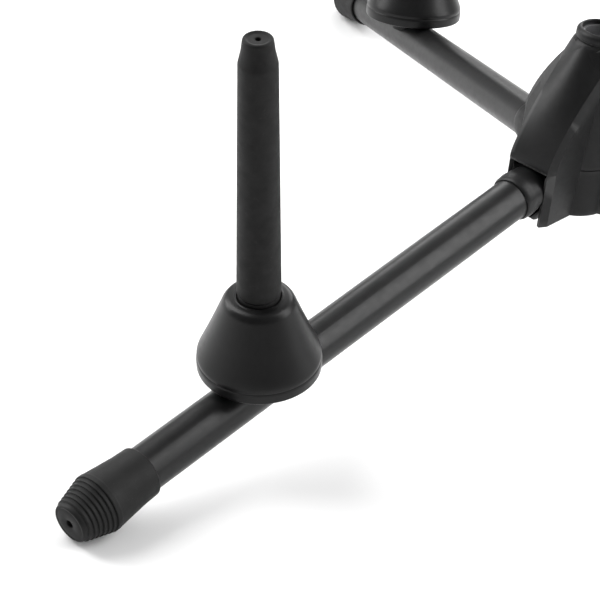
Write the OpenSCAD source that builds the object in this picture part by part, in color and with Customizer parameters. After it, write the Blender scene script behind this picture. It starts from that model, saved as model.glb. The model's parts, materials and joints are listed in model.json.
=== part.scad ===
// Tripod floor stand for woodwind instruments: a hub with a post socket, three
// folding tube legs with rubber feet, and two screw-on instrument pegs.
// Origin: on the floor under the hub's centre line. Leg 3 points along +X.

/* [Legs] */
// Slope of the legs below level when they are open
leg_slope = 11.7; // [6:0.1:20]
// Outer diameter of the leg tube
tube_d = 16; // [12:0.5:20]
// Wall of the leg tube
tube_wall = 1.2; // [0.8:0.1:2]
// Hub centre line to the outer end face of the foot, along the leg
leg_reach = 263.5; // [200:0.5:360]

/* [Feet] */
// Length of the rubber foot
foot_len = 32; // [26:0.5:45]
// Length of the ribbed nose of the foot
foot_nose_len = 13.3; // [9:0.1:18]
// Rubber around the tube at the open end of the foot
foot_rim_wall = 1.1; // [0.8:0.1:3]
// Rubber around the tube at the shoulder of the foot
foot_shoulder_wall = 2.7; // [1.8:0.1:5]
// Radius of the flat end face
foot_face_r = 6.4; // [4:0.1:7]
// Number of ribs on the nose
foot_ribs = 7; // [4:1:9]
// Rubber between the tube's end and the end face
foot_floor = 5; // [3:0.5:8]

/* [Hub] */
// Outer width of each leg cover
cover_w = 21; // [20.6:0.1:26]
// Wall of the leg cover
cover_wall = 1.5; // [1:0.1:2.2]
// Hub centre line to the outer end of the leg cover
cover_reach = 31.5; // [29:0.1:36]
// Height of the shell's top face above the point where the legs' centre lines meet
cover_rise = 47.5; // [44:0.5:60]
// Depth of the shell's lower edge below that point
cover_drop = 19.2; // [15:0.1:24]
// Radius of the shell between the legs, at its lower edge
core_r = 16.5; // [15:0.1:19]
// Diameter of the post that the socket takes
post_d = 12.7; // [9:0.1:13]
// Distance from the hub centre line to a leg's pivot, along the leg
pivot_x = 17.5; // [16:0.1:20]
// Diameter of a pivot pin
pin_d = 5; // [3:0.5:6]

/* [Knuckles] */
// Outer end of the knuckle's socket, from the hub centre line
socket_end = 40.5; // [38:0.5:48]
// Depth of the tube's seat in the knuckle
socket_depth = 11; // [7:0.5:13]
// Width of the tongue between the hub's ears
tongue_w = 8; // [6:0.5:10]

/* [Pegs] */
// Hub centre line to a peg, along the leg
peg_x = 176.1; // [120:0.5:240]
// Lean of a peg towards the hub, from square to the leg
peg_lean = 2.4; // [0:0.1:5]
// Radius of the peg base at its foot
base_r = 21.2; // [16:0.1:28]
// Radius of the peg base at its shoulder
base_top_r = 11.5; // [9.5:0.1:14]
// Height of the peg base
base_h = 29.4; // [22:0.1:45]
// Radius of the rubber peg at its lower end
peg_r = 7.45; // [5.5:0.05:9]
// Radius of the rubber peg where its nose begins
peg_top_r = 6.35; // [5:0.05:8]
// Radius of the peg's end face
peg_tip_r = 4.5; // [3:0.1:5]
// Length of the rubber peg above its base
peg_len = 99.3; // [60:0.1:160]
// Length of the peg's tapered nose
peg_nose_len = 9; // [5:0.5:15]
// Diameter of the threaded rod in a peg
rod_d = 6; // [4:0.5:6]

/* [Fits] */
// Radial clearance of a pin or a rod that turns in its bore
turn_gap = 0.05; // [0.02:0.01:0.1]
// Radial clearance between pieces that are assembled and stay still
fit_gap = 0.05; // [0.02:0.01:0.1]
// Gap between faces that slide past each other
slide_gap = 0.3; // [0.2:0.05:0.5]

/* [Hidden] */

// Direction of each leg about the hub, in degrees from +X
leg_dirs = [240, 120, 0];

tube_r = tube_d / 2;
bore_r = tube_r - tube_wall;
fine = 96;
cut = 1;

// Feet: x runs outward along the leg, measured from the hub centre line
foot_x0 = leg_reach - foot_len;
shoulder_x = leg_reach - foot_nose_len;
rim_r = tube_r + foot_rim_wall;
shoulder_r = tube_r + foot_shoulder_wall;
rib_x1 = leg_reach - 2;
rib_pitch = (rib_x1 - shoulder_x) / foot_ribs;
rib_end_r = foot_face_r + 1;
rib_drop = (shoulder_r - rib_end_r) / foot_ribs;
rib_lip = 0.25;
lip_len = 0.8;
tube_x1 = leg_reach - foot_floor;
foot_hole_r = 1.4;

// Outline of the foot's rubber, from its open rim to its end face
foot_outline = concat(
    [[foot_x0, rim_r - 0.5], [foot_x0 + 0.5, rim_r]],
    [[shoulder_x - lip_len, shoulder_r - 0.35], [shoulder_x - lip_len / 2, shoulder_r]],
    [for (i = [0 : foot_ribs - 1]) each [
        [shoulder_x + i * rib_pitch + 0.02, shoulder_r - i * rib_drop - (i == 0 ? 0 : rib_lip)],
        [shoulder_x + (i + 1) * rib_pitch - 0.02, shoulder_r - i * rib_drop]]],
    [for (a = [0 : 18 : 90]) [rib_x1 + 2 * sin(a), rib_end_r - 1 + cos(a) - rib_lip * (90 - a) / 90]]);

// Height of the point where the leg centre lines meet, so that the feet touch the floor
hub_z = max([for (p = foot_outline) p[0] * sin(leg_slope) + p[1] * cos(leg_slope)]);

// Leg cover, seen from the side: x outward from the hub centre line, y up from hub_z
cover_top = cover_rise - 0.2;
roof_r0 = 1;
roof_end_z = 3;
roof_sag = 0.072;
roof_steps = 16;
bevel = 2.6;
function roof_point(t, inset) =
    let (a = [roof_r0 - inset * 0.3, cover_top - inset * 0.8],
         b = [cover_reach - inset, roof_end_z - inset * 0.2],
         chord = b - a,
         bow = roof_sag * norm(chord) * 4 * pow(t, 1.1) * pow(1 - t, 0.564),
         out = [-chord[1], chord[0]] / norm(chord))
    a + chord * t + out * bow;
function cover_outline(inset) = concat(
    [[0, -cover_drop], [0, cover_rise - 4.5 - inset]],
    [for (i = [2 : roof_steps]) roof_point(i / roof_steps, inset)],
    [[cover_reach - inset, -cover_drop]]);

cover_half = cover_w / 2;
channel_half = cover_half - cover_wall;
neck_z = cover_rise - 7;
channel_top = neck_z - 0.5;
core_top_r = 9.5;
crown_x = 4.6;
core_drop = cover_drop + 0.3;
stem_r = post_d / 2 + 2.2;
thread_r = post_d / 2 + 1.35;
socket_r = post_d / 2 + fit_gap;
collar_r = thread_r + 1.75;
collar_h = 4.5;
collar_bore_r = thread_r - 0.35;
groove_h = 0.7;
groove_depth = 0.5;
post_screw_z = 15;
post_screw_r = 2.5;
post_screw_dir = 180;
socket_floor = 3;

// Pivots
pivot_r = pivot_x * cos(leg_slope);
pivot_z = -pivot_x * sin(leg_slope);
pin_r = pin_d / 2;
ear_r = pin_r + 3.3;
stem_bottom = pivot_z - ear_r - 0.5;
tongue_r = pin_r + 3.6;
washer_t = 0.5;
ear_in = tongue_w / 2 + washer_t + 0.1;
ear_out = channel_half - 1;
bracket_x0 = ear_out / tan(60) + 0.15;
plate_x1 = pivot_r - tongue_r - 0.35;
washer_r = pin_r + 2.4;

// Knuckle: x along the leg from the hub centre line
seat_x = socket_end - socket_depth;
body_x0 = pivot_x + ear_r + 2.4;
body_r = tube_r + 0.75;
bulge_r = tube_r + 1.2;
knuckle_half = channel_half - slide_gap;
lug_h = 3.4;
screw_x = socket_end - 3.2;
screw_r = 1.5;
screw_head_r = 2.3;
screw_head_h = 1.4;

// Pegs: h runs up the peg from the leg's centre line
base_h0 = tube_r + 1.44;
base_h1 = base_h0 + base_h;
band_h = 4.2;
neck_r = peg_r - 0.35;
recess_r = neck_r + 0.2;
recess_depth = 3;
sleeve_h0 = base_h1 + 1.8;
sleeve_h1 = base_h1 + peg_len;
rod_r = rod_d / 2;
rod_h0 = -bore_r + 1.5;
rod_h1 = sleeve_h1 - 20;
saddle_r = 9;
nut_flat = rod_d * 1.65;
nut_t = rod_d / 2;
insert_len = 16;

module at_hub(dir) translate([0, 0, hub_z]) rotate([0, 0, dir]) children();
module on_leg(dir) at_hub(dir) rotate([0, leg_slope, 0]) children();
module along_leg() rotate([0, 90, 0]) children();
module across_leg() rotate([90, 0, 0]) children();
module on_peg(dir) on_leg(dir) translate([peg_x, 0, 0]) rotate([0, -peg_lean, 0]) children();
// A solid of revolution about the leg: points are [distance along the leg, radius]
module leg_turned(points) along_leg() rotate_extrude($fn = fine)
    polygon([for (p = points) [p[1], p[0]]]);

// ---- Hub ----

module cover_blank() {
    across_leg() hull() {
        translate([0, 0, -cover_half]) linear_extrude(cover_w) polygon(cover_outline(bevel));
        translate([0, 0, -cover_half + 1.3]) linear_extrude(cover_w - 2.6) polygon(cover_outline(0));
        translate([crown_x, cover_top - 1, 0]) rotate([-90, 0, 0]) cylinder(h = 1, r = crown_x - 0.2, $fn = 48);
    }
}

module cover_channel() {
    across_leg() translate([0, 0, -channel_half]) linear_extrude(2 * channel_half)
        polygon(concat(
            [[0, -cover_drop - cut], [0, channel_top]],
            [for (i = [3 : roof_steps - 1]) let (p = roof_point(i / roof_steps, cover_wall))
                if (p[1] < channel_top - 0.5) [min(p[0], cover_reach - cover_wall - 0.1 * i / roof_steps), p[1]]],
            [[cover_reach - cover_wall, roof_end_z], [cover_reach + 2, roof_end_z],
             [cover_reach + 2, -cover_drop - cut]]));
}

module core_blank() rotate_extrude($fn = fine) polygon([
    [0, -core_drop], [core_r - 0.6, -core_drop], [core_r, -core_drop + 0.6],
    [core_r - 0.5, -4], [core_r - 0.64, -0.25], [core_r - 1, -0.1], [core_r - 1, 0.1], [core_r - 0.67, 0.25],
    [core_r - 0.9, 8], [core_r - 1.6, 20], [core_r - 2.6, 30],
    [core_r - 3.7, cover_rise - 9.5], [core_top_r + 1.4, cover_rise - 5], [core_top_r + 0.3, cover_rise - 1.8],
    [core_top_r - 0.05, cover_rise - 0.4], [core_top_r - 0.4, cover_rise], [0, cover_rise]]);

module hub_shell() color([0.16, 0.16, 0.17]) at_hub(0) difference() {
    union() {
        core_blank();
        for (dir = leg_dirs) rotate([0, 0, dir]) cover_blank();
    }
    for (dir = leg_dirs) rotate([0, 0, dir]) cover_channel();
    cylinder(h = neck_z, r = stem_r + fit_gap, $fn = fine);
    translate([0, 0, channel_top - cut]) cylinder(h = 3 * neck_z, r = thread_r + fit_gap, $fn = fine);
    rotate([0, 0, post_screw_dir]) translate([0, 0, post_screw_z]) rotate([0, 90, 0])
        cylinder(h = 3 * core_r, r = post_screw_r + 0.8, $fn = 48);
}

module hub_stem() color([0.45, 0.45, 0.47]) at_hub(0) difference() {
    rotate_extrude($fn = fine) polygon([
        [0, stem_bottom], [stem_r, stem_bottom], [stem_r, neck_z], [thread_r, neck_z],
        [thread_r, cover_rise + collar_h - 2], [socket_r, cover_rise + collar_h - 2],
        [socket_r, stem_bottom + socket_floor], [0, stem_bottom + socket_floor]]);
    rotate([0, 0, post_screw_dir]) translate([0, 0, post_screw_z]) rotate([0, 90, 0])
        cylinder(h = 2 * core_r, r = post_screw_r + fit_gap, $fn = 48);
}

// Two ears joined by a back plate that is shaped to the stem
module pivot_bracket(dir) color([0.5, 0.5, 0.52]) at_hub(dir) difference() {
    across_leg() {
        translate([pivot_r, pivot_z, 0]) cylinder(h = 2 * ear_out, r = ear_r, center = true, $fn = fine);
        translate([(bracket_x0 + pivot_r) / 2, pivot_z, 0])
            cube([pivot_r - bracket_x0, 2 * ear_r - 0.4, 2 * ear_out], center = true);
    }
    translate([plate_x1, -ear_in, pivot_z - 2 * ear_r]) cube([2 * pivot_r, 2 * ear_in, 4 * ear_r]);
    translate([0, 0, pivot_z - 2 * ear_r]) cylinder(h = 4 * ear_r, r = stem_r + fit_gap, $fn = fine);
    across_leg() translate([pivot_r, pivot_z, 0])
        cylinder(h = 3 * ear_out, r = pin_r + fit_gap, center = true, $fn = fine);
}

module collar_ring() color([0.13, 0.13, 0.14]) at_hub(0) translate([0, 0, cover_rise])
    rotate_extrude($fn = fine) polygon([
        [thread_r + fit_gap, 0], [collar_r - groove_depth, 0], [collar_r - groove_depth, groove_h],
        [collar_r - 0.3, groove_h], [collar_r, groove_h + 0.3], [collar_r, collar_h - 1.6],
        [collar_r - 0.3, collar_h - 0.9], [collar_r - 0.9, collar_h - 0.2], [collar_r - 1.4, collar_h],
        [collar_bore_r + 0.4, collar_h], [collar_bore_r, collar_h - 0.4],
        [collar_bore_r, collar_h - 1.9], [thread_r + fit_gap, collar_h - 1.9]]);

module post_screw() color([0.3, 0.3, 0.32]) at_hub(post_screw_dir) translate([0, 0, post_screw_z])
    rotate([0, 90, 0]) difference() {
        translate([0, 0, socket_r + 0.2]) cylinder(h = core_r - socket_r - 3.4, r = post_screw_r, $fn = 48);
        translate([0, 0, core_r - 5.4]) cylinder(h = 5, r = post_screw_r * 0.55, $fn = 6);
    }

module pivot_pin(dir) color([0.7, 0.7, 0.72]) at_hub(dir) across_leg()
    translate([pivot_r, pivot_z, 0]) cylinder(h = 2 * ear_out, r = pin_r, center = true, $fn = fine);

module pivot_washers(dir) color([0.85, 0.85, 0.8]) at_hub(dir) across_leg()
    for (side = [-1, 1]) translate([pivot_r, pivot_z, side * (ear_in - washer_t / 2)]) difference() {
        cylinder(h = washer_t, r = washer_r, center = true, $fn = fine);
        cylinder(h = 2 * washer_t, r = pin_r + fit_gap, center = true, $fn = fine);
    }

// ---- Legs ----

module knuckle(dir) color([0.14, 0.14, 0.15]) on_leg(dir) difference() {
    union() {
        intersection() {
            leg_turned([[body_x0, 0], [body_x0, tongue_r], [body_x0 + 1.6, tube_r - 0.1],
                [body_x0 + 4, tube_r + 0.4], [body_x0 + 7, body_r], [socket_end - 4, bulge_r],
                [socket_end - 1, bulge_r - 0.25], [socket_end - 0.3, body_r - 0.1],
                [socket_end, body_r - 0.35], [socket_end, 0]]);
            cube([4 * socket_end, 2 * knuckle_half, 4 * tube_d], center = true);
        }
        across_leg() {
            translate([pivot_x, 0, 0]) cylinder(h = tongue_w, r = tongue_r, center = true, $fn = fine);
            translate([(pivot_x + body_x0) / 2 + 1, 0, 0])
                cube([body_x0 - pivot_x + 2, 2 * tongue_r, tongue_w], center = true);
            // Stop lug on the underside
            linear_extrude(2 * (knuckle_half - 2.5), center = true) polygon([
                [body_x0 + 2, -tube_r], [body_x0 + 4, -tube_r - lug_h + 0.5], [body_x0 + 6, -tube_r - lug_h],
                [body_x0 + 8, -tube_r - lug_h + 1], [body_x0 + 10, -tube_r]]);
        }
    }
    along_leg() translate([0, 0, seat_x]) cylinder(h = socket_depth + cut, r = tube_r + fit_gap, $fn = fine);
    across_leg() translate([pivot_x, 0, 0]) cylinder(h = 2 * tongue_w, r = pin_r + turn_gap, center = true, $fn = fine);
    translate([screw_x, 0, -2 * tube_r]) cylinder(h = 2 * tube_r, r = screw_r + fit_gap, $fn = 48);
    translate([screw_x, 0, -bulge_r - cut]) cylinder(h = cut + 0.5, r = screw_head_r + 0.3, $fn = 48);
}

module leg_tube(dir, with_peg) color([0.12, 0.12, 0.13]) on_leg(dir) difference() {
    along_leg() translate([0, 0, seat_x]) cylinder(h = tube_x1 - seat_x, r = tube_r, $fn = fine);
    along_leg() translate([0, 0, seat_x - cut]) cylinder(h = tube_x1 - seat_x + 2 * cut, r = bore_r, $fn = fine);
    translate([screw_x, 0, -2 * tube_r]) cylinder(h = 2 * tube_r, r = screw_r + fit_gap, $fn = 48);
    if (with_peg) translate([peg_x, 0, 0]) rotate([0, -peg_lean, 0])
        cylinder(h = 2 * tube_r, r = rod_r + slide_gap + 0.1, $fn = 48);
}

module tube_screw(dir) color([0.55, 0.55, 0.57]) on_leg(dir) translate([screw_x, 0, 0]) {
    translate([0, 0, -bulge_r + 0.5 - screw_head_h]) difference() {
        cylinder(h = screw_head_h, r = screw_head_r, $fn = 48);
        translate([0, 0, -cut]) cylinder(h = cut + 0.8, r = screw_r * 0.8, $fn = 6);
    }
    translate([0, 0, -bulge_r + 0.5]) cylinder(h = bulge_r - 0.5 - bore_r + 2, r = screw_r, $fn = 48);
}

module rubber_foot(dir) color([0.1, 0.1, 0.1]) on_leg(dir) difference() {
    leg_turned(concat([[foot_x0, tube_r + fit_gap]], foot_outline,
        [[leg_reach, 0], [tube_x1 + fit_gap, 0], [tube_x1 + fit_gap, tube_r + fit_gap]]));
    along_leg() translate([0, 0, leg_reach - 2.4]) cylinder(h = 3, r = foot_hole_r, $fn = 48);
}

// ---- Pegs ----

module thread_insert(dir) color([0.75, 0.65, 0.4]) on_leg(dir) translate([peg_x, 0, 0]) difference() {
    along_leg() cylinder(h = insert_len, r = bore_r - fit_gap, center = true, $fn = fine);
    rotate([0, -peg_lean, 0]) cylinder(h = 4 * tube_r, r = rod_r + turn_gap, center = true, $fn = fine);
}

module peg_saddle(dir) color([0.09, 0.09, 0.09]) on_peg(dir) difference() {
    translate([0, 0, tube_r / 2]) cylinder(h = base_h0 - 0.1 - tube_r / 2, r = saddle_r, $fn = fine);
    rotate([0, peg_lean, 0]) along_leg() cylinder(h = 6 * saddle_r, r = tube_r + fit_gap, center = true, $fn = fine);
    cylinder(h = 4 * tube_r, r = rod_r + slide_gap + 0.1, $fn = 48);
}

module peg_base(dir) color([0.13, 0.13, 0.14]) on_peg(dir) translate([0, 0, base_h0]) difference() {
    rotate_extrude($fn = 2 * fine) polygon([
        [0, 0], [base_r - 0.5, 0], [base_r - 0.05, 0.3], [base_r + 0.05, band_h - 0.5],
        [base_r - 0.2, band_h - 0.1], [base_r - 0.35, band_h + 0.1], [base_r - 0.1, band_h + 0.5],
        [base_r - 0.15, band_h + 1.2], [base_r - 0.45, band_h + 2.2],
        [base_top_r + 0.25, base_h - 1.2], [base_top_r - 0.15, base_h - 0.5],
        [base_top_r - 0.8, base_h - 0.08], [base_top_r - 1.5, base_h],
        [recess_r + 0.7, base_h - 0.1], [recess_r + 0.35, base_h + 0.15], [recess_r, base_h],
        [recess_r, base_h - recess_depth], [0, base_h - recess_depth]]);
    translate([0, 0, -cut]) cylinder(h = base_h + 2 * cut, r = rod_r + fit_gap, $fn = fine);
    translate([0, 0, -cut]) cylinder(h = nut_t + 1 + cut, r = nut_flat / sqrt(3) + 0.1, $fn = 6);
}

module jam_nut(dir) color([0.65, 0.65, 0.67]) on_peg(dir) translate([0, 0, base_h0 + 1]) difference() {
    cylinder(h = nut_t, r = nut_flat / sqrt(3), $fn = 6);
    translate([0, 0, -cut]) cylinder(h = nut_t + 2 * cut, r = rod_r + fit_gap / 2, $fn = fine);
}

module peg_rod(dir) color([0.6, 0.6, 0.62]) on_peg(dir) translate([0, 0, rod_h0])
    cylinder(h = rod_h1 - rod_h0, r = rod_r, $fn = fine);

module peg_sleeve(dir) color([0.09, 0.09, 0.09]) on_peg(dir) difference() {
    rotate_extrude($fn = fine) polygon([
        [0, base_h1 - recess_depth + 0.1], [neck_r, base_h1 - recess_depth + 0.1],
        [neck_r, sleeve_h0], [peg_r - 0.4, sleeve_h0], [peg_r, sleeve_h0 + 0.4],
        [peg_top_r, sleeve_h1 - peg_nose_len], [peg_top_r - 0.15, sleeve_h1 - peg_nose_len + 0.8],
        [peg_tip_r + 0.45, sleeve_h1 - 0.9], [peg_tip_r + 0.2, sleeve_h1 - 0.25],
        [peg_tip_r - 0.3, sleeve_h1], [peg_tip_r - 0.9, sleeve_h1 - 0.1],
        [peg_tip_r - 1.4, sleeve_h1 - 0.35], [0, sleeve_h1 - 0.35]]);
    cylinder(h = rod_h1 + 0.3, r = rod_r + fit_gap, $fn = fine);
    translate([0, 0, sleeve_h1 - 5]) cylinder(h = 6, r = 0.95, $fn = 48);
}

hub_shell();
hub_stem();
collar_ring();
post_screw();
pivot_bracket(leg_dirs[0]);  // pivot_bracket_1
pivot_bracket(leg_dirs[1]);  // pivot_bracket_2
pivot_bracket(leg_dirs[2]);  // pivot_bracket_3
pivot_pin(leg_dirs[0]);  // pivot_pin_1
pivot_pin(leg_dirs[1]);  // pivot_pin_2
pivot_pin(leg_dirs[2]);  // pivot_pin_3
pivot_washers(leg_dirs[0]);  // pivot_washers_1
pivot_washers(leg_dirs[1]);  // pivot_washers_2
pivot_washers(leg_dirs[2]);  // pivot_washers_3
knuckle(leg_dirs[0]);  // knuckle_1
knuckle(leg_dirs[1]);  // knuckle_2
knuckle(leg_dirs[2]);  // knuckle_3
leg_tube(leg_dirs[0], true);  // leg_tube_1
leg_tube(leg_dirs[1], true);  // leg_tube_2
leg_tube(leg_dirs[2], false);  // leg_tube_3
tube_screw(leg_dirs[0]);  // tube_screw_1
tube_screw(leg_dirs[1]);  // tube_screw_2
tube_screw(leg_dirs[2]);  // tube_screw_3
rubber_foot(leg_dirs[0]);  // rubber_foot_1
rubber_foot(leg_dirs[1]);  // rubber_foot_2
rubber_foot(leg_dirs[2]);  // rubber_foot_3
thread_insert(leg_dirs[0]);  // thread_insert_1
thread_insert(leg_dirs[1]);  // thread_insert_2
peg_saddle(leg_dirs[0]);  // peg_saddle_1
peg_saddle(leg_dirs[1]);  // peg_saddle_2
peg_base(leg_dirs[0]);  // peg_base_1
peg_base(leg_dirs[1]);  // peg_base_2
jam_nut(leg_dirs[0]);  // jam_nut_1
jam_nut(leg_dirs[1]);  // jam_nut_2
peg_rod(leg_dirs[0]);  // peg_rod_1
peg_rod(leg_dirs[1]);  // peg_rod_2
peg_sleeve(leg_dirs[0]);  // peg_sleeve_1
peg_sleeve(leg_dirs[1]);  // peg_sleeve_2
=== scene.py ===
import json
import math

import bmesh
import bpy
from mathutils import Matrix, Vector


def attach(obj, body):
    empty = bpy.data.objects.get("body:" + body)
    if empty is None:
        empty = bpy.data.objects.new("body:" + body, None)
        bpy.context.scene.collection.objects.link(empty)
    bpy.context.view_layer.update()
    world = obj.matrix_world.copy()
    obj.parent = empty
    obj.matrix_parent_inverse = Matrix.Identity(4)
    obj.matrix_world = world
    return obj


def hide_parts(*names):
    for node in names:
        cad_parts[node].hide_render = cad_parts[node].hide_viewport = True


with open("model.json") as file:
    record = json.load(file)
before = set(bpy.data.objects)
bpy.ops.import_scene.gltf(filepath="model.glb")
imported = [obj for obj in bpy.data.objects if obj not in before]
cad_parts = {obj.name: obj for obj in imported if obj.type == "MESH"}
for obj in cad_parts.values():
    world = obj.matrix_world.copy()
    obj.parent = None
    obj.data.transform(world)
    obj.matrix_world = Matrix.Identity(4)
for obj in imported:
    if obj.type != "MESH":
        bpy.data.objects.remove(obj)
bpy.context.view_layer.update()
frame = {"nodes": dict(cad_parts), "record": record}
nodes = frame["nodes"]
record = frame["record"]

MM = 0.001

# Sizes of the stand in mm, as in the CAD model
LEG_SLOPE = math.radians(11.7)
PEG_LEAN = math.radians(2.4)
LEG_DIRS = {1: 240, 2: 120, 3: 0}
LEG_REACH = 263.5
FOOT_X0 = 231.5
SHOULDER_X = 250.2
PEG_X = 176.1
BASE_H0 = 9.44
BASE_H = 29.4
BASE_R = 21.2
BASE_TOP_R = 11.5
BAND_H = 4.2
PEG_R = 7.45
PEG_TOP_R = 6.35
PEG_TIP_R = 4.5
SLEEVE_H0 = BASE_H0 + BASE_H + 1.8
SLEEVE_H1 = BASE_H0 + BASE_H + 99.3
HUB_Z = 61.538
COVER_RISE = 47.5


# ---- Places -----------------------------------------------------------------

def hub_place(deg):
    return Matrix.Translation((0, 0, HUB_Z)) @ Matrix.Rotation(math.radians(deg), 4, "Z")


def leg_place(leg):
    return hub_place(LEG_DIRS[leg]) @ Matrix.Rotation(LEG_SLOPE, 4, "Y")


def peg_place(leg):
    return leg_place(leg) @ Matrix.Translation((PEG_X, 0, 0)) @ Matrix.Rotation(-PEG_LEAN, 4, "Y")


# ---- Mesh helpers -----------------------------------------------------------

def new_piece(name, verts, faces, place, mat, body, replaced=()):
    """verts are in mm in the frame of place; the piece's mesh is stored in metres."""
    mesh = bpy.data.meshes.new(name)
    scale = Matrix.Scale(MM, 4)
    mesh.from_pydata([scale @ (place @ Vector(v)) for v in verts], [], faces)
    mesh.validate()
    bm = bmesh.new()
    bm.from_mesh(mesh)
    bmesh.ops.remove_doubles(bm, verts=bm.verts, dist=1e-7)
    bmesh.ops.recalc_face_normals(bm, faces=bm.faces)
    bm.to_mesh(mesh)
    bm.free()
    obj = bpy.data.objects.new(name, mesh)
    bpy.context.scene.collection.objects.link(obj)
    mesh.materials.append(mat)
    smooth(obj, 38)
    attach(obj, body)
    if replaced:
        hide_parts(*replaced)
    return obj


def smooth(obj, degrees):
    """Smooth shading with the sharp edges kept sharp."""
    limit = math.radians(degrees)
    mesh = obj.data
    bm = bmesh.new()
    bm.from_mesh(mesh)
    for face in bm.faces:
        face.smooth = True
    for edge in bm.edges:
        edge.smooth = not (len(edge.link_faces) == 2 and edge.calc_face_angle(0.0) > limit)
    bm.to_mesh(mesh)
    bm.free()


def soften(points, radius, steps=3):
    """Rounds the corners of an open outline, so that a turned piece has soft edges."""
    out = [points[0]]
    for i in range(1, len(points) - 1):
        a, b, c = (Vector(points[k]) for k in (i - 1, i, i + 1))
        u, v = a - b, c - b
        r = min(radius, 0.45 * u.length, 0.45 * v.length)
        if r < 1e-6 or u.angle(v, math.pi) > math.radians(172):
            out.append(tuple(b))
            continue
        p, q = b + u.normalized() * r, b + v.normalized() * r
        for k in range(steps + 1):
            t = k / steps
            out.append(tuple(p * (1 - t) ** 2 + b * 2 * t * (1 - t) + q * t ** 2))
    out.append(points[-1])
    return out


def turned(points, axis, segments=128):
    """A surface of revolution: points are (distance along the axis, radius)."""
    verts, faces, rings = [], [], []
    for d, r in points:
        if r < 1e-6:
            rings.append([len(verts)])
            verts.append((d, 0, 0) if axis == "X" else (0, 0, d))
            continue
        ring = []
        for k in range(segments):
            a = 2 * math.pi * k / segments
            x, y = r * math.cos(a), r * math.sin(a)
            ring.append(len(verts))
            verts.append((d, x, y) if axis == "X" else (x, y, d))
        rings.append(ring)
    for lo, hi in zip(rings, rings[1:]):
        n = max(len(lo), len(hi))
        if n == 1:
            continue
        for k in range(n):
            a, b = lo[k % len(lo)], lo[(k + 1) % len(lo)]
            c, d = hi[(k + 1) % len(hi)], hi[k % len(hi)]
            loop = [a, b, c, d]
            face = [v for i, v in enumerate(loop) if v not in loop[:i]]
            if len(face) > 2:
                faces.append(face)
    return verts, faces


def closed_turned(points, axis, segments=128):
    """A surface of revolution whose outline is a loop that doesn't touch the axis."""
    return turned(points + [points[0]], axis, segments)


# ---- Materials --------------------------------------------------------------

# The tint of black plastic and of the powder coat, slightly cool
COOL = (1, 1, 1.03)


def srgb(v):
    v = v / 255
    return v / 12.92 if v <= 0.04045 else ((v + 0.055) / 1.055) ** 2.4


def grey(v, tint=(1.0, 1.0, 1.0)):
    g = srgb(v)
    return (g * tint[0], g * tint[1], g * tint[2], 1.0)


class Finish:
    """A procedural material on a Principled shader."""

    def __init__(self, name):
        self.mat = bpy.data.materials.new(name)
        self.mat.use_nodes = True
        self.tree = self.mat.node_tree
        self.shader = self.tree.nodes["Principled BSDF"]
        self.coords = self.tree.nodes.new("ShaderNodeTexCoord")
        self.height = None

    def link(self, a, b):
        self.tree.links.new(a, b)

    def noise(self, size_mm, detail=4.0, rough=0.55, stretch=None):
        node = self.tree.nodes.new("ShaderNodeTexNoise")
        node.inputs["Scale"].default_value = 1.0 / (size_mm * MM)
        node.inputs["Detail"].default_value = detail
        node.inputs["Roughness"].default_value = rough
        source = self.coords.outputs["Object"]
        if stretch:
            mapping = self.tree.nodes.new("ShaderNodeMapping")
            mapping.inputs["Scale"].default_value = stretch
            self.link(source, mapping.inputs["Vector"])
            source = mapping.outputs["Vector"]
        self.link(source, node.inputs["Vector"])
        return node.outputs["Fac"]

    def cells(self, size_mm):
        node = self.tree.nodes.new("ShaderNodeTexVoronoi")
        node.inputs["Scale"].default_value = 1.0 / (size_mm * MM)
        self.link(self.coords.outputs["Object"], node.inputs["Vector"])
        return node.outputs["Distance"]

    def remap(self, value, lo, hi, out_lo, out_hi):
        node = self.tree.nodes.new("ShaderNodeMapRange")
        node.inputs["From Min"].default_value = lo
        node.inputs["From Max"].default_value = hi
        node.inputs["To Min"].default_value = out_lo
        node.inputs["To Max"].default_value = out_hi
        self.link(value, node.inputs["Value"])
        return node.outputs["Result"]

    def blend(self, factor, dark, light):
        node = self.tree.nodes.new("ShaderNodeMix")
        node.data_type = "RGBA"
        self.link(factor, node.inputs["Factor"])
        sockets = [s for s in node.inputs if s.type == "RGBA"]
        for socket, value in zip(sockets, (dark, light)):
            if isinstance(value, tuple):
                socket.default_value = value
            else:
                self.link(value, socket)
        return [s for s in node.outputs if s.type == "RGBA"][0]

    def colour(self, value):
        self.link(value, self.shader.inputs["Base Color"])

    def roughness(self, value):
        self.link(value, self.shader.inputs["Roughness"])

    def bump(self, value, depth_mm, strength=1.0):
        node = self.tree.nodes.new("ShaderNodeBump")
        node.inputs["Strength"].default_value = strength
        node.inputs["Distance"].default_value = depth_mm * MM
        self.link(value, node.inputs["Height"])
        if self.height is not None:
            self.link(self.height, node.inputs["Normal"])
        self.height = node.outputs["Normal"]
        self.link(self.height, self.shader.inputs["Normal"])

    # A mask of the convex edges, used to paint highlights on them
    def edges(self, lo=0.52, hi=0.62):
        geo = self.tree.nodes.new("ShaderNodeNewGeometry")
        return self.remap(geo.outputs["Pointiness"], lo, hi, 0.0, 1.0)


def moulded(name, dark, light, rough_lo, rough_hi, grain_mm, grain_depth, highlight_grey=70):
    f = Finish(name)
    patches = f.remap(f.noise(9, 5, 0.6), 0.35, 0.68, 0, 1)
    base = f.blend(patches, grey(dark, COOL), grey(light, COOL))
    # Convex edges are painted lighter: a painted highlight where the light catches the edges
    painted_edge_highlight = f.blend(f.edges(), base, grey(highlight_grey))
    f.colour(painted_edge_highlight)
    f.roughness(f.remap(f.noise(2.2, 4, 0.6), 0.3, 0.7, rough_lo, rough_hi))
    f.bump(f.cells(grain_mm), grain_depth, 0.6)
    f.bump(f.noise(7, 2, 0.5), 0.02, 0.5)
    f.shader.inputs["IOR"].default_value = 1.45
    f.shader.inputs["Specular IOR Level"].default_value = 0.24
    return f.mat


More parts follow.
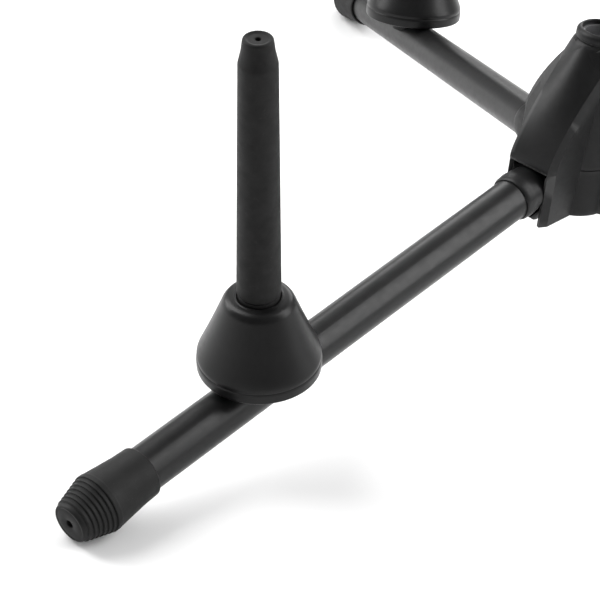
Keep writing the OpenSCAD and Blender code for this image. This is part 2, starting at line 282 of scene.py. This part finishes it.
def powder_coat(name):
    f = Finish(name)
    patches = f.remap(f.noise(14, 4, 0.6), 0.35, 0.68, 0, 1)
    f.colour(f.blend(patches, grey(18, COOL), grey(23, COOL)))
    f.roughness(f.remap(f.noise(3.0, 4, 0.6), 0.3, 0.7, 0.30, 0.40))
    f.bump(f.noise(0.9, 2, 0.5), 0.006, 0.8)
    f.bump(f.cells(0.35), 0.003, 0.5)
    f.shader.inputs["IOR"].default_value = 1.45
    f.shader.inputs["Specular IOR Level"].default_value = 0.32
    return f.mat


def rubber(name, dark, light, rough_lo, rough_hi, mottle_mm, bump_mm):
    f = Finish(name)
    patches = f.remap(f.noise(mottle_mm, 6, 0.68), 0.36, 0.66, 0, 1)
    base = f.blend(patches, grey(dark), grey(light))
    dust = f.remap(f.noise(1.1, 3, 0.7), 0.62, 0.8, 0, 1)
    f.colour(f.blend(dust, base, grey(light + 14)))
    f.roughness(f.remap(f.noise(4, 4, 0.6), 0.3, 0.7, rough_lo, rough_hi))
    f.bump(f.noise(0.55, 4, 0.6), bump_mm, 0.8)
    f.bump(f.noise(5, 3, 0.5), 0.03, 0.5)
    f.shader.inputs["IOR"].default_value = 1.42
    f.shader.inputs["Specular IOR Level"].default_value = 0.24
    return f.mat


def metal(name, colour, rough_lo, rough_hi, stretch=None, bump_mm=0.004):
    f = Finish(name)
    stain = f.remap(f.noise(3, 5, 0.65), 0.35, 0.7, 0, 1)
    deep = tuple(c * 0.8 for c in colour[:3]) + (1.0,)
    f.colour(f.blend(stain, deep, colour))
    f.roughness(f.remap(f.noise(0.8, 4, 0.6, stretch), 0.3, 0.7, rough_lo, rough_hi))
    f.bump(f.noise(0.5, 3, 0.6, stretch), bump_mm, 0.6)
    f.shader.inputs["Metallic"].default_value = 1.0
    return f.mat


def nylon(name):
    f = Finish(name)
    f.colour(f.blend(f.noise(4, 4, 0.6), (0.62, 0.61, 0.56, 1), (0.72, 0.71, 0.66, 1)))
    f.roughness(f.remap(f.noise(2, 3, 0.6), 0.3, 0.7, 0.42, 0.55))
    f.bump(f.noise(0.8, 3, 0.5), 0.006, 0.5)
    f.shader.inputs["Subsurface Weight"].default_value = 0.08
    f.shader.inputs["Subsurface Radius"].default_value = (0.001, 0.001, 0.0008)
    return f.mat


# The last number of each moulded finish is the grey of its painted edge highlight
HUB = moulded("hub plastic", 20, 25, 0.40, 0.48, 0.5, 0.008, 58)
KNUCKLE = moulded("knuckle plastic", 20, 25, 0.36, 0.45, 0.5, 0.006, 56)
BASE = moulded("peg base plastic", 17, 21, 0.30, 0.38, 0.6, 0.002, 40)
COAT = powder_coat("powder coat")
PEG_RUBBER = rubber("peg rubber", 17, 25, 0.55, 0.70, 6, 0.035)
FOOT_RUBBER = rubber("foot rubber", 21, 27, 0.50, 0.64, 8, 0.02)
ALLOY = metal("cast alloy", (0.42, 0.42, 0.43, 1), 0.42, 0.6, None, 0.02)
STEEL = metal("zinc plated steel", (0.58, 0.58, 0.59, 1), 0.22, 0.36)
BRASS = metal("turned brass", (0.72, 0.55, 0.26, 1), 0.2, 0.32, (1, 6, 6))
NYLON = nylon("nylon")

SLOT_FINISH = {"moulded_hub": HUB, "moulded_base": BASE, "powder_coat": COAT, "foot_rubber": FOOT_RUBBER,
               "peg_rubber": PEG_RUBBER, "cast_alloy": ALLOY, "steel": STEEL, "brass": BRASS, "nylon": NYLON}

for part in record["subparts"]:
    obj = nodes[part["node"]]
    finish = KNUCKLE if part["node"].startswith("knuckle") else SLOT_FINISH[part["material_slot"]]
    obj.data.materials.clear()
    obj.data.materials.append(finish)
    for poly in obj.data.polygons:
        poly.use_smooth = True


def soft_edges(name, width_mm, segments=2, angle=32):
    """Rounds the edges of a carried-over CAD node without moving its vertices."""
    obj = nodes[name]
    weld = obj.modifiers.new("weld", "WELD")
    weld.merge_threshold = 2e-6
    bevel = obj.modifiers.new("soft edges", "BEVEL")
    bevel.width = width_mm * MM
    bevel.segments = segments
    bevel.limit_method = "ANGLE"
    bevel.angle_limit = math.radians(angle)
    bevel.harden_normals = True
    bevel.use_clamp_overlap = True


for i in (1, 2, 3):
    soft_edges(f"knuckle_{i}", 0.3, 2)


# ---- Hub --------------------------------------------------------------------

COVER_HALF = 10.5
ROOF_HALF = 8.9
COVER_REACH = 31.5
COVER_DROP = 19.3
ROOF_END_Z = 3.0
CHAMFER = 3.3
WALL = 1.5
# Distance of a core wedge's sides from the middle plane of the cover beside it
WEDGE_SIDE = 9.6
NECK_Z0 = 36.0
NECK_STEP = 0.75
# (height, radius) of the moulding between the covers
CORE_PROFILE = [(-19.5, 16.2), (-18.9, 16.5), (-4, 16), (8, 15.6), (20, 14.9), (30, 13.9), (38, 13.2),
                (42.5, 11.6), (45.7, 10.4), (47.1, 9.7), (47.5, 9.1)]


def roof_edge(t):
    """The cover's ridge, seen from the side: t runs from the collar to the roof's end."""
    a, b = Vector((1.0, COVER_RISE - 0.2)), Vector((COVER_REACH, ROOF_END_Z))
    chord = b - a
    out = Vector((-chord.y, chord.x)).normalized()
    return a + chord * t + out * (0.052 * chord.length * 4 * t ** 1.1 * (1 - t) ** 0.564)


def chamfer_edge(t):
    """The line on the cheek where the chamfer under the ridge ends."""
    step = 1e-3
    at = min(t, 0.93)
    tangent = (roof_edge(at + step) - roof_edge(at - step if at > step else 0.0)).normalized()
    point = roof_edge(t) + Vector((tangent.y, -tangent.x)) * CHAMFER
    point.x = min(point.x, COVER_REACH - CHAMFER - 2.5 * (1 - t))
    ease = max(0.0, (t - 0.85) / 0.15)
    point.y += (ROOF_END_Z - point.y) * ease ** 3
    if t > 0.999:
        point.x = COVER_REACH - CHAMFER
    return point


def cover_sheet():
    """One leg cover's outer skin: a crowned roof, chamfers and cheeks, open below and at its end."""
    verts, faces = [], []
    rows, across, down = 44, 20, 8
    stations = [1 - (1 - k / rows) ** 1.35 for k in range(rows + 1)]
    grid = []
    for t in stations:
        e, c = roof_edge(t), chamfer_edge(t)
        crown = 8.6 * (1 - t) ** 1.7
        half = ROOF_HALF + 0.9 * (1 - t) ** 2
        foot_x = c.x * (COVER_REACH - CHAMFER - 0.8) / (COVER_REACH - CHAMFER)
        foot_z = -COVER_DROP if c.x > 6.6 else c.y - 3
        cheek = [(c.x + (foot_x - c.x) * k / down, c.y + (foot_z - c.y) * k / down) for k in range(down + 1)]
        row = [(x, -COVER_HALF, z) for x, z in reversed(cheek)]
        for k in range(across + 1):
            u = -1 + 2 * k / across
            row.append((e.x + crown * (1 - u * u) ** 1.05, u * half, e.y))
        row += [(x, COVER_HALF, z) for x, z in cheek]
        grid.append([len(verts) + k for k in range(len(row))])
        verts += row
    for lo, hi in zip(grid, grid[1:]):
        for k in range(len(lo) - 1):
            faces.append([lo[k], lo[k + 1], hi[k + 1], hi[k]])
    for side in (-1, 1):
        strip = []
        for k in range(down + 1):
            s = k / down
            e = Vector((COVER_REACH, ROOF_END_Z)).lerp(Vector((COVER_REACH - 0.8, -COVER_DROP)), s)
            c = Vector((COVER_REACH - CHAMFER, ROOF_END_Z)).lerp(
                Vector((COVER_REACH - CHAMFER - 0.8, -COVER_DROP)), s)
            strip.append([len(verts), len(verts) + 1])
            verts += [(e.x, side * ROOF_HALF, e.y), (c.x, side * COVER_HALF, c.y)]
        for lo, hi in zip(strip, strip[1:]):
            faces.append([lo[0], lo[1], hi[1], hi[0]])
    return verts, faces


def core_radius(z):
    for (z0, r0), (z1, r1) in zip(CORE_PROFILE, CORE_PROFILE[1:]):
        if z <= z1:
            return r0 + (r1 - r0) * max(0, z - z0) / (z1 - z0)
    return CORE_PROFILE[-1][1]


def core_wedge():
    """The moulding between two covers, with the seam line round its middle."""
    levels = [-19.5, -19.2, -18.9] + [-18.9 + k * 2.4 for k in range(1, 8)]
    levels = [z for z in levels if z < -0.4] + [-0.28, -0.12, 0.12, 0.28]
    levels += [1.5 + 2.4 * k for k in range(16)]
    verts, faces, steps = [], [], 12
    for z in levels:
        r = core_radius(z) - (0.35 if abs(z) < 0.2 else 0)
        half = math.radians(60) - math.asin(min(0.999, WEDGE_SIDE / max(r, 11.2)))
        ring = [(WEDGE_SIDE / math.sin(math.radians(60)), 0, z)]
        for k in range(steps + 1):
            a = -half + 2 * half * k / steps
            ring.append((r * math.cos(a), r * math.sin(a), z))
        verts += ring
    n = steps + 2
    for j in range(len(levels) - 1):
        for k in range(n):
            a, b = j * n + k, j * n + (k + 1) % n
            faces.append([a, b, b + n, a + n])
    faces.append(list(range(n))[::-1])
    faces.append([(len(levels) - 1) * n + k for k in range(n)])
    return verts, faces


def add_modifier(obj, name, kind, **values):
    modifier = obj.modifiers.new(name, kind)
    for key, value in values.items():
        setattr(modifier, key, value)


for i, deg in LEG_DIRS.items():
    v, f = cover_sheet()
    replaced = ["hub_shell"] if i == 1 else ()
    cover = new_piece(f"leg_cover_{i}", v, f, hub_place(deg), HUB, "hub", replaced)
    add_modifier(cover, "wall", "SOLIDIFY", thickness=WALL * MM, offset=-1.0, use_even_offset=False)
    add_modifier(cover, "soft edges", "BEVEL", width=0.4 * MM, segments=3, limit_method="ANGLE",
                 angle_limit=math.radians(24), harden_normals=True)
    v, f = core_wedge()
    new_piece(f"hub_core_{i}", v, f, hub_place(deg + 60), HUB, "hub", ())

neck_levels = [NECK_Z0 + k * NECK_STEP for k in range(2, 15)]
neck = [(NECK_Z0, 8.65), (NECK_Z0, 12.2)] + [(z, core_radius(z)) for z in neck_levels]
neck += [(46.8, core_radius(46.8)), (47.2, 9.4), (47.5, 9.1), (47.5, 7.8), (40.5, 7.8), (40.5, 8.65)]
v, f = closed_turned(neck, "Z", 144)
new_piece("hub_neck", v, f, hub_place(0), HUB, "hub", ())

# (height over the cover's top, radius)
collar = [(0.0, 7.8), (0.0, 8.9), (0.35, 8.95), (0.7, 8.95), (0.85, 9.25), (1.1, 9.45), (2.0, 9.45),
          (2.9, 9.42), (3.5, 9.2), (4.0, 8.75), (4.35, 8.25), (4.5, 7.9), (4.48, 7.7), (4.3, 7.5),
          (4.0, 7.36), (2.6, 7.36), (2.6, 7.8)]
v, f = closed_turned(soften([(COVER_RISE + h, r) for h, r in collar], 0.15, 2), "Z", 128)
new_piece("collar", v, f, hub_place(0), HUB, "hub", ["collar_ring"])


# ---- Rubber feet ------------------------------------------------------------

RIBS = 7
RIB_X1 = LEG_REACH - 2
FOOT_SHOULDER_R = 10.7
FOOT_END_R = 7.4


def foot_points():
    """The foot's outside from its mouth to the last rib: (distance along the leg, radius)."""
    pitch = (RIB_X1 - SHOULDER_X) / RIBS
    drop = (FOOT_SHOULDER_R - FOOT_END_R) / RIBS
    outer = [(FOOT_X0, 8.35), (FOOT_X0, 8.75), (FOOT_X0 + 0.45, 9.1), (FOOT_X0 + 6, 9.35),
             (SHOULDER_X - 6, 10.0), (SHOULDER_X - 0.6, 10.55), (SHOULDER_X, FOOT_SHOULDER_R)]
    for i in range(RIBS):
        a = SHOULDER_X + i * pitch
        top = FOOT_SHOULDER_R - i * drop
        if i:
            outer += [(a + 0.02, top - 0.15), (a + 0.3, top - 0.12)]
        outer += [(a + pitch - 0.42, top - 0.02), (a + pitch - 0.12, top - 0.02), (a + pitch, top - 0.16)]
    return outer


for i in (1, 2, 3):
    outer = soften(foot_points(), 0.12, 2)
    outer += [(RIB_X1 + 2 * math.sin(a), 6.4 + math.cos(a) - 0.25 * (1 - a / 1.5708))
              for a in [math.radians(d) for d in range(6, 91, 12)]]
    end = [(LEG_REACH, 6.2), (LEG_REACH - 0.12, 5.9), (LEG_REACH - 0.12, 5.5), (LEG_REACH, 5.2),
           (LEG_REACH, 1.75), (LEG_REACH - 0.15, 1.5), (LEG_REACH - 0.5, 1.4), (LEG_REACH - 2.4, 1.4),
           (LEG_REACH - 2.4, 0)]
    inner = [(FOOT_X0, 8.35), (FOOT_X0 + 0.25, 8.06), (LEG_REACH - 5.0, 8.05), (LEG_REACH - 5.0, 0)]
    v, f = turned(outer + end, "X", 144)
    v2, f2 = turned(inner, "X", 144)
    n = len(v)
    new_piece(f"foot_{i}", v + v2, f + [[k + n for k in face] for face in f2], leg_place(i), FOOT_RUBBER,
              f"leg_{i}", [f"rubber_foot_{i}"])


# ---- Pegs -------------------------------------------------------------------

def sleeve_points():
    h0, h1 = SLEEVE_H0, SLEEVE_H1
    nose = h1 - 9
    side = [(h0 + 0.4, PEG_R)]
    for k in range(1, 12):
        t = k / 12
        side.append((h0 + 0.4 + (nose - h0 - 0.4) * t, PEG_R + (PEG_TOP_R - PEG_R) * t))
    pts = [(BASE_H0 + BASE_H - 2.9, 3.05), (BASE_H0 + BASE_H - 2.9, PEG_R - 0.35), (h0 - 0.45, PEG_R - 0.35),
           (h0 - 0.3, PEG_R - 0.75), (h0, PEG_R - 0.75), (h0 + 0.1, PEG_R - 0.25)] + side
    pts += [(nose, PEG_TOP_R), (nose + 0.8, PEG_TOP_R - 0.15), (nose + 4.5, PEG_TOP_R - 0.98),
            (h1 - 0.9, PEG_TIP_R + 0.42), (h1 - 0.25, PEG_TIP_R + 0.2), (h1, PEG_TIP_R - 0.3),
            (h1 - 0.12, PEG_TIP_R - 0.8), (h1 - 0.38, PEG_TIP_R - 1.35), (h1 - 0.38, 1.15), (h1 - 0.6, 0.95),
            (h1 - 5.0, 0.95), (h1 - 5.0, 0)]
    return soften(pts, 0.35, 3)


def base_points():
    h = BASE_H0
    top = h + BASE_H
    cone = []
    a, b = (h + BAND_H + 2.2, BASE_R - 0.45), (top - 2.2, BASE_TOP_R + 0.75)
    for k in range(1, 14):
        t = k / 14
        cone.append((a[0] + (b[0] - a[0]) * t, a[1] + (b[1] - a[1]) * t - 0.18 * math.sin(math.pi * t)))
    pts = [(h + 0.1, 3.1), (h + 0.1, 6), (h + 0.1, 17.5), (h, 18.2), (h, BASE_R - 0.5),
           (h + 0.35, BASE_R - 0.05), (h + BAND_H - 0.9, BASE_R + 0.05),
           (h + BAND_H - 0.3, BASE_R - 0.1), (h + BAND_H, BASE_R - 0.26),
           (h + BAND_H + 0.3, BASE_R - 0.16), (h + BAND_H + 1.2, BASE_R - 0.12), a] + cone + [
           (top - 2.2, BASE_TOP_R + 0.75), (top - 1.2, BASE_TOP_R + 0.1), (top - 0.5, BASE_TOP_R - 0.6),
           (top - 0.1, BASE_TOP_R - 1.6), (top, 9.2), (top + 0.05, 8.4), (top + 0.2, 7.9), (top + 0.15, 7.5),
           (top - 0.1, 7.3), (top - 2.95, 7.3), (top - 2.95, 3.1)]
    return soften(pts, 0.5, 3)


for i in (1, 2):
    v, f = turned(sleeve_points(), "Z", 128)
    new_piece(f"peg_{i}_rubber", v, f, peg_place(i), PEG_RUBBER,
              f"peg_{i}", [f"peg_sleeve_{i}"])
    v, f = closed_turned(base_points(), "Z", 192)
    new_piece(f"peg_{i}_cone", v, f, peg_place(i), BASE,
              f"peg_{i}", [f"peg_base_{i}"])


# ---- Camera, floor and light ------------------------------------------------

# Place in mm, and the directions of the picture's right side and of the view
CAMERA_AT = (11.899, -760.056, 446.139)
CAMERA_RIGHT = (0.96939, 0.21487, 0.11882)
CAMERA_LOOK = (-0.12158, 0.84049, -0.52801)
CAMERA_LENS = 132
FLOOR_HALF = 8

camera = bpy.data.objects.new("camera", bpy.data.cameras.new("camera"))
bpy.context.scene.collection.objects.link(camera)
right = Vector(CAMERA_RIGHT).normalized()
look = Vector(CAMERA_LOOK).normalized()
right = (right - look * right.dot(look)).normalized()
up = right.cross(look)
turn = Matrix((right, up, -look)).transposed().to_4x4()
camera.matrix_world = Matrix.Translation(Vector(CAMERA_AT) * MM) @ turn
camera.data.lens = CAMERA_LENS
camera.data.sensor_width = 36
camera.data.clip_start = 0.01
camera.data.clip_end = 50
bpy.context.scene.camera = camera

floor_mesh = bpy.data.meshes.new("floor")
corners = [(x * FLOOR_HALF, y * FLOOR_HALF, 0) for x, y in ((-1, -1), (1, -1), (1, 1), (-1, 1))]
floor_mesh.from_pydata(corners, [], [(0, 1, 2, 3)])
floor = bpy.data.objects.new("floor", floor_mesh)
bpy.context.scene.collection.objects.link(floor)
paper = Finish("pale floor")
paper.colour(paper.blend(paper.noise(40, 2, 0.5), (0.90, 0.90, 0.90, 1), (0.915, 0.915, 0.915, 1)))
paper.shader.inputs["Roughness"].default_value = 0.9
paper.shader.inputs["Specular IOR Level"].default_value = 0.1
floor_mesh.materials.append(paper.mat)


def area(name, place, target, size, watts):
    light = bpy.data.lights.new(name, "AREA")
    light.shape = "RECTANGLE"
    light.size, light.size_y = size
    light.energy = watts
    obj = bpy.data.objects.new(name, light)
    obj.location = place
    obj.rotation_euler = (Vector(target) - Vector(place)).to_track_quat("-Z", "Y").to_euler()
    bpy.context.scene.collection.objects.link(obj)


area("left softbox", (-1.15, 0.1, 0.85), (-0.08, -0.08, 0.0), (0.8, 1.5), 26)
area("right softbox", (1.15, 0.1, 0.9), (0.0, -0.08, 0.0), (0.7, 1.5), 19)
area("back softbox", (0.0, 1.5, 0.9), (0.0, -0.05, 0.0), (1.8, 0.7), 18)

# The world gives less light from the front (-Y), so the stand's near sides stay dark
world = bpy.data.worlds.new("studio")
bpy.context.scene.world = world
world.use_nodes = True
tree = world.node_tree
background = tree.nodes["Background"]
coords = tree.nodes.new("ShaderNodeTexCoord")
split = tree.nodes.new("ShaderNodeSeparateXYZ")
tree.links.new(coords.outputs["Generated"], split.inputs["Vector"])
ramp = tree.nodes.new("ShaderNodeMapRange")
ramp.inputs["From Min"].default_value = -0.9
ramp.inputs["From Max"].default_value = 0.1
ramp.inputs["To Min"].default_value = 0.12
ramp.inputs["To Max"].default_value = 0.6
tree.links.new(split.outputs["Y"], ramp.inputs["Value"])
tree.links.new(ramp.outputs["Result"], background.inputs["Strength"])
background.inputs["Color"].default_value = (1, 1, 1, 1)
# Above the horizon the camera sees white, whatever light the world gives
backdrop = tree.nodes.new("ShaderNodeBackground")
backdrop.inputs["Color"].default_value = (1, 1, 1, 1)
backdrop.inputs["Strength"].default_value = 0.92
rays = tree.nodes.new("ShaderNodeLightPath")
pick = tree.nodes.new("ShaderNodeMixShader")
tree.links.new(rays.outputs["Is Camera Ray"], pick.inputs[0])
tree.links.new(background.outputs["Background"], pick.inputs[1])
tree.links.new(backdrop.outputs["Background"], pick.inputs[2])
tree.links.new(pick.outputs["Shader"], tree.nodes["World Output"].inputs["Surface"])

bpy.context.scene.view_settings.view_transform = "Standard"
bpy.context.scene.view_settings.look = "None"
